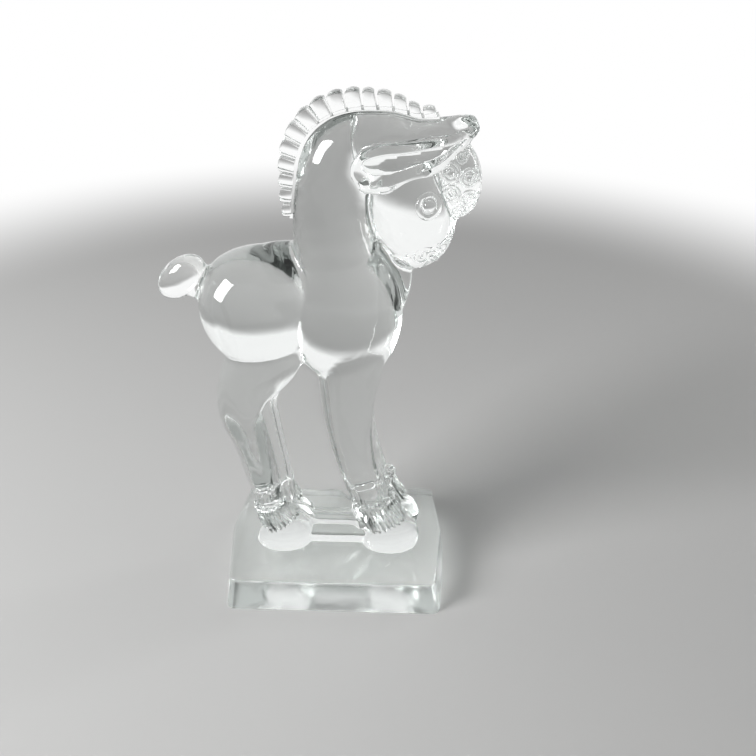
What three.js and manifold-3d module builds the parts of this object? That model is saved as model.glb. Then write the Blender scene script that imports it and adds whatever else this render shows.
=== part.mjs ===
// A small horse of clear pressed glass, standing on its plinth.
// Millimetres, +Z up, the head towards +X, and the mould line in the plane Y = 0.
// The real horse is one pressing. Each sculpted form of it is a solid of its own here.

import * as THREE from "three";
import { mergeVertices } from "three/addons/utils/BufferGeometryUtils.js";
import Module from "manifold-3d";

const wasm = await Module();
wasm.setup();

// Gap that a form leaves round each form it is cut by
const clearance = 0.3;

// Plinth: a block whose top slopes from a ridge on the mould line
const plinthLength = 51; // over the points of the ends, along the ridge
const plinthDepth = 33.2; // over the front and back top edges
const plinthEdgeHeight = 8.6;
const plinthRidgeHeight = 10.2;
const plinthEndPoint = 1.7; // how far each end comes to a point at the ridge
const plinthEndFlare = 1.3; // how far the foot stands out past the top at each end
const plinthSideFlare = 0.9; // the same at front and back
const plinthCornerRadius = 2.4;
const plinthEdgeRadius = 1;

// Hooves and the fluted fetlock bands over them
const hindFootX = -12.2;
const foreFootX = 13.2;
const hoofLength = 13;
const hoofWidth = 8.2;
const hoofHeight = 8; // over the plinth's ridge
const hoofTilt = 0.46; // radians, toe up
const fetlockHeight = 7.4;
const fetlockWidth = 7.4;
const hindFetlockLength = 8.8; // from front to back
const foreFetlockLength = 10.4;
const fetlockTaper = 0.9; // how much its half size grows towards the hoof
const hindFetlockRise = 7.8; // middle of the band over the ridge
const foreFetlockRise = 8;
const hindFetlockBack = 1.7; // middle of the band behind the foot
const foreFetlockBack = 2.4;
const fetlockFlutes = 20;
const fluteDepth = 0.4;
const hindPasternLean = 0.3; // radians, foot forward of the leg
const forePasternLean = 0.46;
const pasternLength = 6.5; // straight part of a leg over its band

// Sill between the fore and hind feet
const sillWidth = 9.4;
const sillHeight = 2.8; // over the ridge
const sillShoulder = 0.7; // how far its sides stop short of its middle
const sillRound = 0.6;

// Lower legs
const legWidth = 7.5;
const legGap = 0.7; // between the right and left legs
const hindShankLength = 6.8; // from front to back
const hindShankBow = 0.9; // how far it bends back between hock and fetlock
const hockShare = 0.63; // its height, as a share of the way from ridge to trunk middle
const hockBack = 7.7; // behind the foot
const hockLength = 9.9; // from front to back
const hockTall = 6; // half the height that the joint takes
const underHockForward = 0.5; // where the shank starts, in front of the hock's middle
const foreShankLength = 8;
const foreShankBow = 1.4;
const elbowLength = 9.8; // top of the foreleg, from front to back
const elbowForward = 1.2; // in front of the chest's middle

// Trunk: two rounded lobes that run into each other
const trunkHeight = 71.5; // middle of the trunk over the table
const hipX = -13.3;
const hipLength = 24.6;
const hipTall = 25.6;
const hipWide = 20.8;
const backSlope = 4.2; // rise of the hind lobe's middle from rump to chest
const rumpTaper = 3.4; // how much lower and narrower its ends are, each way
const chestForward = 16.4; // middle of the chest in front of the hips' middle
const chestLength = 23.6;
const chestWide = 19.6;
const chestTop = 12; // over the trunk's middle
const chestBottom = 17; // under the trunk's middle
const chestTaper = 4.6; // how much its half length shrinks towards the bottom
const chestBottomForward = 0.9; // in front of the chest's middle
const thighLength = 15.6; // at its top, from front to back
const thighWidth = 10.2;
const thighRootForward = 1; // top of the thigh, in front of the hips' middle
const thighMiddleBack = 1.9; // behind the hips' middle
const gaskinForward = 1.8; // where the thigh widens over the hock, in front of the hock's middle

// Neck, from the chest up and over to the poll between the ears
const neckRise = 32.4; // poll over the trunk's middle
const neckForward = 8.4; // poll in front of the chest's middle
const neckBaseBack = 1.2; // foot of the neck behind the chest's middle
const neckRootRise = 2; // its hidden end over the trunk's middle
const neckBaseLength = 16.2; // from front to back
const neckThroatLength = 14.4;
const neckPollLength = 14.2;
const neckBaseWide = 16.8;
const neckPollWide = 12.8;
const neckThroatShare = 0.74; // share of the neck's rise where it is narrowest
const neckBendBack = 2.3; // the bend under the mane, behind the straight line to the poll
const neckBendDrop = 1.9; // and under the poll
const browForward = 7; // from the poll, where the neck narrows between the ears
const browTaper = 2.3;
const browRise = 1.1;
const browTipBack = 0.9; // point of the neck between the ears, behind the tips of the ears
const browTipSize = 2.7;

// Head
const headForward = 5.2; // in front of the poll
const headDropShare = 0.3; // its middle under the poll, as a share of the neck's rise
const headLong = 24; // down the face
const headDeep = 17.2; // from cheek edge to face
const headWide = 14.4;
const headTilt = 0.24; // radians, muzzle forward
const muzzleForward = 3; // from the middle of the head
const muzzleDrop = 8.1;
const muzzleSize = 10.2;
const muzzleWide = 10.2;
const lipBack = 5; // from the middle of the muzzle
const lipDrop = 3.3;
const lipLong = 6.8;
const lipThick = 3.8;
const lipWide = 7.2;
const lipTilt = 0.6; // radians, front end down
const curlThickness = 0.84;
const curlStart = 0.18; // share of its outer radius at which a curl starts
const nostrilTurns = 1.6;
const nostrilRadius = 1.7;
const nostrilForward = 0.4; // from the muzzle's middle
const nostrilDrop = 1.2;

// Eyes
const eyeForward = 3.2; // from the middle of the head
const eyeRise = 1.9;
const eyeSize = 2.3;
const eyeProud = 0.3; // how far the ball's middle stands out of the head
const lidRadius = 2;
const lidThickness = 1.1;
const lidProud = 0.35;

// Ears, laid forward along the head until their tips meet
const earRootBack = 5.9; // behind the poll
const earRootDrop = 1.1; // under the poll
const earLength = 22.6;
const earTipRise = 5.2; // over the poll
const earDeep = 8.8; // from rim to rim
const earThick = 3;
const earTipSize = 1.8;
const earProud = 1.5; // how far its outer face stands out of the neck's side
const earHollow = 1.1; // depth of the hollow
const earRim = 0.9; // width left round the hollow

// Forelock, a drop of curls that hangs from the ears over the brow
const forelockForward = 7.9; // from the middle of the head
const forelockRise = 4.7;
const forelockLong = 14.4;
const forelockDeep = 9;
const forelockWide = 10.4;
const forelockTilt = 0.12; // radians
const forelockCurlRadius = 2.1;
const forelockCurlTurns = 1.9;

// Thin webs of glass: from chin to chest, and between the fore and hind legs
const throatWebWidth = 3;
const throatWebProud = 2.7; // in front of the chest, half way up
const legWebWidth = 2;

// Tail
const tailLong = 11.6;
const tailThick = 7.3;
const tailWide = 6.2;
const tailTilt = 0.75; // radians, tip up
const tailBack = 3.5; // middle of the tail behind the rump
const tailRise = 6.8; // over the trunk's middle
const tailRootSize = 4.6;
const tailRootDrop = 3.4; // under the tail's middle

// Mane
const maneTabs = 15;
const maneWidth = 3;
const maneHeight = 4; // of the tallest tab over the neck
const maneStartShare = 0.275; // share of the neck's line where the mane begins
const maneEndShare = 0.905;
const maneFade = 0.08; // how much of the rise and fall of the tabs each end leaves out
const crestHeight = 0.9;
const crestWidth = 3.8;
const tabRound = 1; // rise of a tab's rounded outer edge

const glassColour = 0xdfe8e4;
const glassRoughness = 0.04;

// Flats round an egg and rings along it, for the large ones and the small ones
const largeSides = 24;
const largeRings = 14;
const smallSides = 14;
const smallRings = 9;

// Places worked out from the sizes above
const legSpread = (legWidth + legGap) / 2; // from the mould line to the middle of a leg
const rumpX = hipX - hipLength / 2;
const chestX = hipX + chestForward;
const chestFrontX = chestX + chestLength / 2;
const chestBottomHeight = trunkHeight - chestBottom;
const neckBaseX = chestX - neckBaseBack;
const pollX = chestX + neckForward;
const pollHeight = trunkHeight + neckRise;
const headX = pollX + headForward;
const headHeight = pollHeight - headDropShare * neckRise;
const earRootX = pollX - earRootBack;
const earTipX = earRootX + earLength;
const hockX = hindFootX - hockBack;
const hockHeight = plinthRidgeHeight + hockShare * (trunkHeight - plinthRidgeHeight);
const elbowX = chestX + elbowForward;

// Solids, and the three.js geometries that they come from and go back to

function solidOf(geometry) {
  const bare = geometry.clone();
  bare.deleteAttribute("normal");
  bare.deleteAttribute("uv");
  const joined = mergeVertices(bare, 1e-4);
  const corners = joined.index.array;
  const kept = [];
  for (let i = 0; i < corners.length; i += 3) {
    const [a, b, c] = corners.slice(i, i + 3);
    if (a !== b && b !== c && c !== a) kept.push(a, b, c);
  }
  return new wasm.Manifold(
    new wasm.Mesh({
      numProp: 3,
      vertProperties: joined.attributes.position.array,
      triVerts: new Uint32Array(kept),
    }),
  );
}

function geometryOf(solid) {
  const mesh = solid.getMesh();
  const geometry = new THREE.BufferGeometry();
  geometry.setAttribute("position", new THREE.BufferAttribute(mesh.vertProperties, mesh.numProp));
  geometry.setIndex(new THREE.BufferAttribute(mesh.triVerts, 1));
  const faceted = geometry.toNonIndexed();
  faceted.computeVertexNormals();
  return faceted;
}

// A place along a limb: its middle, and half its size in the side view and from side to side
function station(x, z, reach, width, y = 0) {
  return { x, y, z, reach, width };
}

// A lathe-turned form one unit high and one in radius; the blunter, the squarer its ends
function turnedForm(bluntness, rings, around) {
  const profile = [];
  for (let i = 0; i <= rings; i += 1) {
    const rise = (1 - Math.cos((Math.PI * i) / rings)) / 2;
    const radius = Math.max(0, 1 - Math.abs(2 * rise - 1) ** bluntness) ** (1 / bluntness);
    profile.push(new THREE.Vector2(radius, rise));
  }
  return new THREE.LatheGeometry(profile, around);
}

// For a share t of the way along a limb: its middle, its directions and its half sizes
function limbFrame(stations) {
  const middle = new THREE.CatmullRomCurve3(stations.map((s) => new THREE.Vector3(s.x, s.y, s.z)));
  const girth = new THREE.CatmullRomCurve3(stations.map((s) => new THREE.Vector3(s.reach, s.width, 0)));
  return (t) => {
    const along = middle.getTangent(t);
    const front = new THREE.Vector3(along.z, 0, -along.x).normalize();
    const out = new THREE.Vector3().crossVectors(front, along).normalize();
    const size = girth.getPoint(t);
    return { point: middle.getPoint(t), along, front, out, reach: size.x, width: size.y };
  };
}

// A turned form bent along stations, larger by grow all over
function limb(stations, grow, { bluntness = 5, rings = 12, around = 12, flutes = 0 } = {}) {
  const frameAt = limbFrame(stations);
  const geometry = turnedForm(bluntness, rings, around);
  const place = geometry.attributes.position;
  for (let i = 0; i < place.count; i += 1) {
    const t = Math.min(1, Math.max(0, place.getY(i)));
    const { point, along, front, out, reach, width } = frameAt(t);
    const angle = Math.atan2(place.getZ(i), place.getX(i));
    const groove = (fluteDepth * (1 - Math.cos(flutes * angle))) / 2;
    point.addScaledVector(front, place.getX(i) * (reach + grow - groove));
    point.addScaledVector(out, place.getZ(i) * (width + grow - groove));
    point.addScaledVector(along, grow * (2 * t - 1));
    place.setXYZ(i, point.x, point.y, point.z);
  }
  return solidOf(geometry);
}

// An ellipsoid, upright before its tilt swings its lower end forward
function egg({ x, y = 0, z, long, deep, wide, tilt = 0 }, grow, around = largeSides, rings = largeRings) {
  const geometry = new THREE.SphereGeometry(1, around, rings);
  geometry.rotateX(Math.PI / 2);
  geometry.scale(deep / 2 + grow, wide / 2 + grow, long / 2 + grow);
  geometry.rotateY(-tilt);
  geometry.translate(x, y, z);
  return solidOf(geometry);
}

// The point on an egg's side that lies dx, dz from its middle, and the direction out of it
function eggSide({ x, z, long, deep, wide, tilt = 0 }, dx, dz, side) {
  const forward = dx * Math.cos(tilt) + dz * Math.sin(tilt);
  const up = dz * Math.cos(tilt) - dx * Math.sin(tilt);
  const share = Math.max(0, 1 - (2 * forward / deep) ** 2 - (2 * up / long) ** 2);
  const y = (side * wide * Math.sqrt(share)) / 2;
  const normal = new THREE.Vector3(forward / deep ** 2, y / wide ** 2, up / long ** 2);
  normal.applyAxisAngle(new THREE.Vector3(0, 1, 0), -tilt).normalize();
  return { point: new THREE.Vector3(x + dx, y, z + dz), normal };
}

// An outline in the side view, extruded evenly to both sides of the mould line
function slab(shape, width) {
  const geometry = new THREE.ExtrudeGeometry(shape, { depth: width, bevelEnabled: false, curveSegments: 4 });
  geometry.translate(0, 0, -width / 2);
  geometry.rotateX(Math.PI / 2);
  return solidOf(geometry);
}

// A section across the mould line, extruded along X from start to end
function bar(section, start, end) {
  const depth = end - start;
  const geometry = new THREE.ExtrudeGeometry(section, { depth, bevelEnabled: false, curveSegments: 3 });
  geometry.translate(0, 0, start);
  geometry.rotateX(Math.PI / 2);
  geometry.rotateZ(Math.PI / 2);
  return solidOf(geometry);
}

// Everything on one side of the mould line, short of it by half the clearance
function halfSpace(side, grow) {
  const far = 4 * trunkHeight;
  const geometry = new THREE.BoxGeometry(far, far, far);
  geometry.translate(0, side * (far / 2 + clearance / 2 - grow), 0);
  return solidOf(geometry);
}

function plinth(grow) {
  const halfLength = plinthLength / 2 + grow;
  const halfDepth = plinthDepth / 2 + grow;
  const ridge = plinthRidgeHeight + grow;
  const edge = plinthEdgeHeight + grow;
  const endLength = halfLength - plinthEndPoint;
  const round = plinthCornerRadius;

  const plan = new THREE.Shape();
  plan.moveTo(halfLength, 0);
  plan.lineTo(endLength, halfDepth - round);
  plan.quadraticCurveTo(endLength, halfDepth, endLength - round, halfDepth);
  plan.lineTo(round - endLength, halfDepth);
  plan.quadraticCurveTo(-endLength, halfDepth, -endLength, halfDepth - round);
  plan.lineTo(-halfLength, 0);
  plan.lineTo(-endLength, round - halfDepth);
  plan.quadraticCurveTo(-endLength, -halfDepth, round - endLength, -halfDepth);
  plan.lineTo(endLength - round, -halfDepth);
  plan.quadraticCurveTo(endLength, -halfDepth, endLength, round - halfDepth);
  plan.closePath();
  const walls = new THREE.ExtrudeGeometry(plan, { depth: 2 * ridge, bevelEnabled: false, curveSegments: 4 });
  const place = walls.attributes.position;
  for (let i = 0; i < place.count; i += 1) {
    const drop = 1 - place.getZ(i) / edge;
    const longer = 1 + (drop * plinthEndFlare) / halfLength;
    const deeper = 1 + (drop * plinthSideFlare) / halfDepth;
    place.setXYZ(i, place.getX(i) * longer, place.getY(i) * deeper, place.getZ(i));
  }

  // The roof's section, with its front and back edges rounded, reaches past the walls
  const soft = plinthEdgeRadius;
  const slope = (ridge - edge) / halfDepth;
  const past = 2 * halfDepth;
  const section = new THREE.Shape();
  section.moveTo(-past, 0);
  section.lineTo(-past, edge - soft - past * slope);
  section.lineTo(-halfDepth, edge - soft);
  section.quadraticCurveTo(-halfDepth, edge, soft - halfDepth, edge + soft * slope);
  section.lineTo(0, ridge);
  section.lineTo(halfDepth - soft, edge + soft * slope);
  section.quadraticCurveTo(halfDepth, edge, halfDepth, edge - soft);
  section.lineTo(past, edge - soft - past * slope);
  section.lineTo(past, 0);
  section.closePath();
  return solidOf(walls).intersect(bar(section, -plinthLength, plinthLength));
}

// The middle of a foot's fluted band, half its length and the way the leg comes down to it
function pastern(isHind) {
  const lean = isHind ? hindPasternLean : forePasternLean;
  return {
    x: isHind ? hindFootX - hindFetlockBack : foreFootX - foreFetlockBack,
    z: plinthRidgeHeight + (isHind ? hindFetlockRise : foreFetlockRise),
    reach: (isHind ? hindFetlockLength : foreFetlockLength) / 2,
    down: new THREE.Vector3(Math.sin(lean), 0, -Math.cos(lean)),
  };
}

function hoof(isHind, side, grow) {
  const dome = {
    x: isHind ? hindFootX : foreFootX,
    y: side * legSpread,
    z: plinthRidgeHeight,
    long: 2 * hoofHeight,
    deep: hoofLength,
    wide: hoofWidth,
    tilt: -hoofTilt,
  };
  return egg(dome, grow).intersect(halfSpace(side, grow));
}

function fetlock(isHind, side, grow) {
  const { x, z, reach, down } = pastern(isHind);
  const stations = [1, 0, -1].map((end) => {
    const drop = (end * fetlockHeight) / 2;
    const wider = end * fetlockTaper;
    const y = side * legSpread;
    return station(x + drop * down.x, z + drop * down.z, reach + wider, fetlockWidth / 2 + wider, y);
  });
  const plain = { bluntness: 8, rings: 4, around: 20 };
  const fluted = { bluntness: 8, rings: 4, around: 2 * fetlockFlutes, flutes: fetlockFlutes };
  return limb(stations, grow, grow > 0 ? plain : fluted).intersect(halfSpace(side, grow));
}

function hindLeg(side, grow) {
  const { x, z, down } = pastern(true);
  const y = side * legSpread;
  const shank = hindShankLength / 2;
  const hock = hockLength / 2;
  const wide = legWidth / 2;
  const stations = [
    station(x, z, shank, wide, y),
    station(x - pasternLength * down.x, z - pasternLength * down.z, shank, wide, y),
    station((hockX + x) / 2 - hindShankBow, (hockHeight + z) / 2, shank, wide, y),
    station(hockX + underHockForward, hockHeight - hockTall, hock * 0.85, wide, y),
    station(hockX, hockHeight, hock, wide * 1.05, y),
    station(hockX + gaskinForward, hockHeight + hockTall, hock * 1.2, thighWidth / 2, y),
  ];
  return limb(stations, grow, { bluntness: 6 }).intersect(halfSpace(side, grow));
}

function thigh(side, grow) {
  const y = side * legSpread;
  const hock = hockLength / 2;
  const wide = thighWidth / 2;
  const stations = [
    station(hockX, hockHeight, hock, legWidth / 2, y),
    station(hockX + gaskinForward, hockHeight + hockTall, hock * 1.25, wide * 0.92, y),
    station(hipX - thighMiddleBack, trunkHeight - hipTall / 2, thighLength * 0.45, wide, y),
    station(hipX + thighRootForward, trunkHeight - hipTall / 8, thighLength / 2, wide, y),
  ];
  return limb(stations, grow, { rings: 10, around: 16 }).intersect(halfSpace(side, grow));
}

function foreLeg(side, grow) {
  const { x, z, down } = pastern(false);
  const y = side * legSpread;
  const shank = foreShankLength / 2;
  const elbow = elbowLength / 2;
  const wide = legWidth / 2;
  const top = chestBottomHeight;
  const stations = [
    station(x, z, shank * 1.05, wide, y),
    station(x - pasternLength * down.x, z - pasternLength * down.z, shank, wide, y),
    station((x + elbowX) / 2 - foreShankBow, (z + top) / 2, shank, wide, y),
    station(elbowX, top - 1.4 * elbow, (shank + elbow) / 2, wide, y),
    station(elbowX, top, elbow, wide, y),
    station(elbowX, top + 1.2 * elbow, elbow, wide, y),
  ];
  return limb(stations, grow, { bluntness: 6 }).intersect(halfSpace(side, grow));
}

function sill(grow) {
  const half = sillWidth / 2 + grow;
  const top = plinthRidgeHeight + sillHeight + grow;
  const shoulder = top - sillShoulder;
  const section = new THREE.Shape();
  section.moveTo(-half, plinthEdgeHeight);
  section.lineTo(-half, shoulder - sillRound);
  section.quadraticCurveTo(-half, shoulder, sillRound - half, shoulder);
  section.lineTo(0, top);
  section.lineTo(half - sillRound, shoulder);
  section.quadraticCurveTo(half, shoulder, half, shoulder - sillRound);
  section.lineTo(half, plinthEdgeHeight);
  section.closePath();
  return bar(section, hindFootX - grow, foreFootX + grow);
}

function legWeb(grow) {
  const low = plinthRidgeHeight + sillHeight / 2;
  const web = new THREE.Shape();
  web.moveTo(hindFootX, low);
  web.lineTo(foreFootX, low);
  web.lineTo(elbowX, chestBottomHeight);
  web.lineTo(chestX, trunkHeight);
  web.lineTo(hipX, trunkHeight);
  web.lineTo(hockX, hockHeight);
  web.closePath();
  return slab(web, legWebWidth + 2 * grow);
}

function hindquarters(grow) {
  const tall = hipTall / 2;
  const wide = hipWide / 2;
  const sizes = [
    [0, rumpTaper, rumpTaper * 0.6],
    [0.22, rumpTaper * 0.26, 0],
    [0.48, 0, 0],
    [0.75, 0, rumpTaper * 0.24],
    [1, rumpTaper * 0.18, rumpTaper * 0.47],
  ];
  const stations = sizes.map(([share, lower, narrower]) => {
    const middle = trunkHeight + backSlope * (share - 0.4);
    return station(rumpX + hipLength * share, middle, tall - lower, wide - narrower);
  });
  return limb(stations, grow, { bluntness: 2.5, rings: 14, around: 24 });
}

function chest(grow) {
  const half = chestLength / 2;
  const wide = chestWide / 2;
  const middleHeight = trunkHeight - chestBottom / 2;
  const stations = [
    station(chestX + chestBottomForward, chestBottomHeight, half - chestTaper, wide * 0.78),
    station(chestX + chestBottomForward / 3, middleHeight, half - chestTaper * 0.3, wide * 0.94),
    station(chestX, trunkHeight, half, wide),
    station(neckBaseX, trunkHeight + chestTop, neckBaseLength / 2, neckBaseWide / 2),
  ];
  return limb(stations, grow, { bluntness: 3.2, rings: 14, around: 24 });
}

function neckStations() {
  const base = neckBaseLength / 2;
  const throat = neckThroatLength / 2;
  const poll = neckPollLength / 2;
  const baseWide = neckBaseWide / 2;
  const pollWide = neckPollWide / 2;
  const bendX = (neckBaseX + pollX) / 2 - neckBendBack;
  return [
    station(neckBaseX, trunkHeight + neckRootRise, base, baseWide),
    station(neckBaseX, trunkHeight + chestTop, base, baseWide),
    station(neckBaseX, trunkHeight + neckRise * neckThroatShare, throat, (baseWide + pollWide) / 2),
    station(bendX, pollHeight - neckBendDrop, poll * 1.1, pollWide),
    station(pollX, pollHeight, poll, pollWide),
    station(pollX + browForward, pollHeight + browRise, poll - browTaper, pollWide * 0.78),
    station(earTipX - browTipBack, pollHeight + earTipRise, browTipSize / 2, browTipSize / 2),
  ];
}

function neck(grow) {
  return limb(neckStations(), grow, { bluntness: 6, rings: 18, around: 20 });
}

const headEgg = {
  x: headX,
  z: headHeight,
  long: headLong,
  deep: headDeep,
  wide: headWide,
  tilt: headTilt,
};

const muzzleEgg = {
  x: headX + muzzleForward,
  z: headHeight - muzzleDrop,
  long: muzzleSize,
  deep: muzzleSize,
  wide: muzzleWide,
};

const lipEgg = {
  x: muzzleEgg.x - lipBack,
  z: muzzleEgg.z - lipDrop,
  long: lipThick,
  deep: lipLong,
  wide: lipWide,
  tilt: -lipTilt,
};

const forelockEgg = {
  x: headX + forelockForward,
  z: headHeight + forelockRise,
  long: forelockLong,
  deep: forelockDeep,
  wide: forelockWide,
  tilt: forelockTilt,
};

// A rope of glass that winds out from a point over the side of an egg
function curl(base, { dx, dz, radius, turns, start }, side, grow) {
  const steps = Math.round(turns * 7);
  const path = [];
  for (let i = 0; i <= steps; i += 1) {
    const share = i / steps;
    const angle = start + 2 * Math.PI * turns * share;
    const swing = radius * (curlStart + (1 - curlStart) * share);
    path.push(eggSide(base, dx + swing * Math.cos(angle), dz + swing * Math.sin(angle), side).point);
  }
  const rope = new THREE.Shape();
  rope.absarc(0, 0, curlThickness / 2 + grow, 0, 2 * Math.PI);
  const geometry = new THREE.ExtrudeGeometry(rope, {
    extrudePath: new THREE.CatmullRomCurve3(path),
    steps,
    curveSegments: 3,
    bevelEnabled: false,
  });
  return solidOf(geometry);
}

function curledEgg(base, curls, grow) {
  let form = egg(base, grow);
  for (const side of [-1, 1]) {
    for (const place of curls) form = form.add(curl(base, place, side, grow));
  }
  return form;
}

function muzzle(grow) {
  const nostril = {
    dx: nostrilForward,
    dz: -nostrilDrop,
    radius: nostrilRadius,
    turns: nostrilTurns,
    start: 0,
  };
  return curledEgg(muzzleEgg, [nostril], grow);
}

function forelock(grow) {
  const like = { radius: forelockCurlRadius, turns: forelockCurlTurns, start: Math.PI / 2 };
  const curls = [
    { dx: -0.35 * (forelockDeep / 2), dz: 0.4 * (forelockLong / 2), ...like },
    { dx: 0.42 * (forelockDeep / 2), dz: 0.12 * (forelockLong / 2), ...like },
    { dx: -0.2 * (forelockDeep / 2), dz: -0.32 * (forelockLong / 2), ...like },
  ];
  return curledEgg(forelockEgg, curls, grow);
}

function eye(side, grow) {
  const { point, normal } = eggSide(headEgg, eyeForward, eyeRise, side);
  point.addScaledVector(normal, eyeProud);
  const ball = { x: point.x, y: point.y, z: point.z, long: eyeSize, deep: eyeSize, wide: eyeSize };
  return egg(ball, grow, smallSides, smallRings);
}

function eyelid(side, grow) {
  const { point, normal } = eggSide(headEgg, eyeForward, eyeRise, side);
  point.addScaledVector(normal, lidProud);
  const geometry = new THREE.TorusGeometry(lidRadius, lidThickness / 2 + grow, 6, 16);
  geometry.applyQuaternion(new THREE.Quaternion().setFromUnitVectors(new THREE.Vector3(0, 0, 1), normal));
  geometry.translate(point.x, point.y, point.z);
  return solidOf(geometry);
}

// Stations along an ear, moved out from the head and narrowed at its rims
function earStations(side, out, narrower) {
  const climb = earTipRise + earRootDrop;
  const rootOut = neckPollWide / 2 + earProud - earThick / 2;
  const tipOut = earTipSize / 2 + clearance / 2;
  const half = earDeep / 2;
  const shares = [
    [0, 0, 0.5],
    [0.2, 0.02, 0.94],
    [0.45, 0.16, 1],
    [0.75, 0.55, 0.72],
    [1, 1, 0.2],
  ];
  return shares.map(([share, rise, deep]) => {
    const x = earRootX + earLength * share;
    const z = pollHeight - earRootDrop + climb * rise;
    const away = rootOut + (tipOut - rootOut) * share ** 1.6 + out;
    const thick = earThick + (earTipSize - earThick) * share ** 4;
    return station(x, z, Math.max(earTipSize / 4, half * deep - narrower), thick / 2, side * away);
  });
}

function ear(side, grow) {
  const shape = { bluntness: 3, rings: 10, around: 12 };
  const shell = limb(earStations(side, 0, 0), grow, shape);
  if (grow > 0) return shell;
  const hollow = limb(earStations(side, earThick - earHollow, earRim), 0, shape);
  return shell.subtract(hollow).intersect(halfSpace(side, 0));
}

function throatWeb(grow) {
  const chin = lipEgg.z;
  const web = new THREE.Shape();
  web.moveTo(neckBaseX, (2 * headHeight + chin) / 3);
  web.lineTo(headX, chin);
  web.quadraticCurveTo(chestFrontX + throatWebProud, (chin + trunkHeight) / 2, chestFrontX, trunkHeight);
  web.lineTo(chestX, trunkHeight);
  web.closePath();
  return slab(web, throatWebWidth + 2 * grow);
}

function tail(grow) {
  const form = {
    x: rumpX - tailBack,
    z: trunkHeight + tailRise,
    long: tailThick,
    deep: tailLong,
    wide: tailWide,
    tilt: tailTilt,
  };
  const root = tailRootSize / 2;
  const stations = [
    station(form.x, form.z, root, root),
    station(form.x + tailBack / 2, form.z - tailRootDrop / 2, root, root),
    station(rumpX + root, form.z - tailRootDrop, root, root),
  ];
  return egg(form, grow).add(limb(stations, grow, { rings: 6 }));
}

// The back edge of the neck, from the mane's start to its end
function maneLine() {
  const frameAt = limbFrame(neckStations());
  const points = [];
  const samples = 24;
  for (let i = 0; i <= samples; i += 1) {
    const { point, front, reach } = frameAt(maneStartShare + ((maneEndShare - maneStartShare) * i) / samples);
    points.push(point.addScaledVector(front, -reach));
  }
  return new THREE.CatmullRomCurve3(points);
}

const maneRoot = maneLine();

// The point in the side view at a share of the mane's length and a height over the neck
function overMane(share, height) {
  const along = maneRoot.getTangentAt(share);
  const point = maneRoot.getPointAt(share);
  return new THREE.Vector2(point.x - along.z * height, point.z + along.x * height);
}

function maneCrest(grow) {
  const steps = 20;
  const outer = [];
  const inner = [];
  for (let i = 0; i <= steps; i += 1) {
    outer.push(overMane(i / steps, crestHeight + grow));
    inner.push(overMane(i / steps, -crestHeight));
  }
  return slab(new THREE.Shape(outer.concat(inner.reverse())), crestWidth + 2 * grow);
}

// Tabs are tallest over the bend of the neck and die away at both ends
function tabHeight(share) {
  return maneHeight * Math.sin(Math.PI * (maneFade + (1 - 2 * maneFade) * share)) ** 0.6;
}

function maneTab(index, grow) {
  const gap = clearance / 2 / maneRoot.getLength();
  const start = Math.max(0, index / maneTabs + gap);
  const end = Math.min(1, (index + 1) / maneTabs - gap);
  const middle = (start + end) / 2;
  const corner = tabHeight(middle) - tabRound / 2;
  const [rootStart, tipStart] = [overMane(start, 0), overMane(start, corner)];
  const [rootEnd, tipEnd] = [overMane(end, 0), overMane(end, corner)];
  const top = overMane(middle, corner + tabRound);
  const tab = new THREE.Shape();
  tab.moveTo(rootStart.x, rootStart.y);
  tab.lineTo(tipStart.x, tipStart.y);
  tab.quadraticCurveTo(top.x, top.y, tipEnd.x, tipEnd.y);
  tab.lineTo(rootEnd.x, rootEnd.y);
  tab.closePath();
  return slab(tab, maneWidth + 2 * grow);
}

// The horse: each form is cut by all the forms added before it
const horse = new THREE.Group();
const cutters = [];

function add(name, shape) {
  let form = shape(0);
  for (const cutter of cutters) form = form.subtract(cutter);
  const material = new THREE.MeshStandardMaterial({
    color: glassColour,
    roughness: glassRoughness,
    metalness: 0,
  });
  const mesh = new THREE.Mesh(geometryOf(form), material);
  mesh.name = name;
  horse.add(mesh);
  cutters.push(shape(clearance));
}

function addPair(name, shape) {
  add(`right_${name}`, (grow) => shape(-1, grow));
  add(`left_${name}`, (grow) => shape(1, grow));
}

add("plinth", plinth);
add("hindquarters", hindquarters);
add("chest", chest);
add("muzzle", muzzle);
add("head", (grow) => egg(headEgg, grow));
add("neck", neck);
add("lower_lip", (grow) => egg(lipEgg, grow, smallSides, smallRings));
addPair("ear", ear);
add("forelock", forelock);
addPair("eye", eye);
addPair("eyelid", eyelid);
add("tail", tail);
addPair("hind_fetlock", (side, grow) => fetlock(true, side, grow));
addPair("fore_fetlock", (side, grow) => fetlock(false, side, grow));
addPair("hind_hoof", (side, grow) => hoof(true, side, grow));
addPair("fore_hoof", (side, grow) => hoof(false, side, grow));
addPair("thigh", thigh);
addPair("hind_leg", hindLeg);
addPair("foreleg", foreLeg);
add("sill", sill);
add("leg_web", legWeb);
add("throat_web", throatWeb);
add("mane_crest", maneCrest);
for (let i = 0; i < maneTabs; i += 1) {
  add(`mane_tab_${String(i + 1).padStart(2, "0")}`, (grow) => maneTab(i, grow));
}

export default horse;
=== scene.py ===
import math

import bmesh
import bpy
from mathutils import Matrix, Vector


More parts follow.
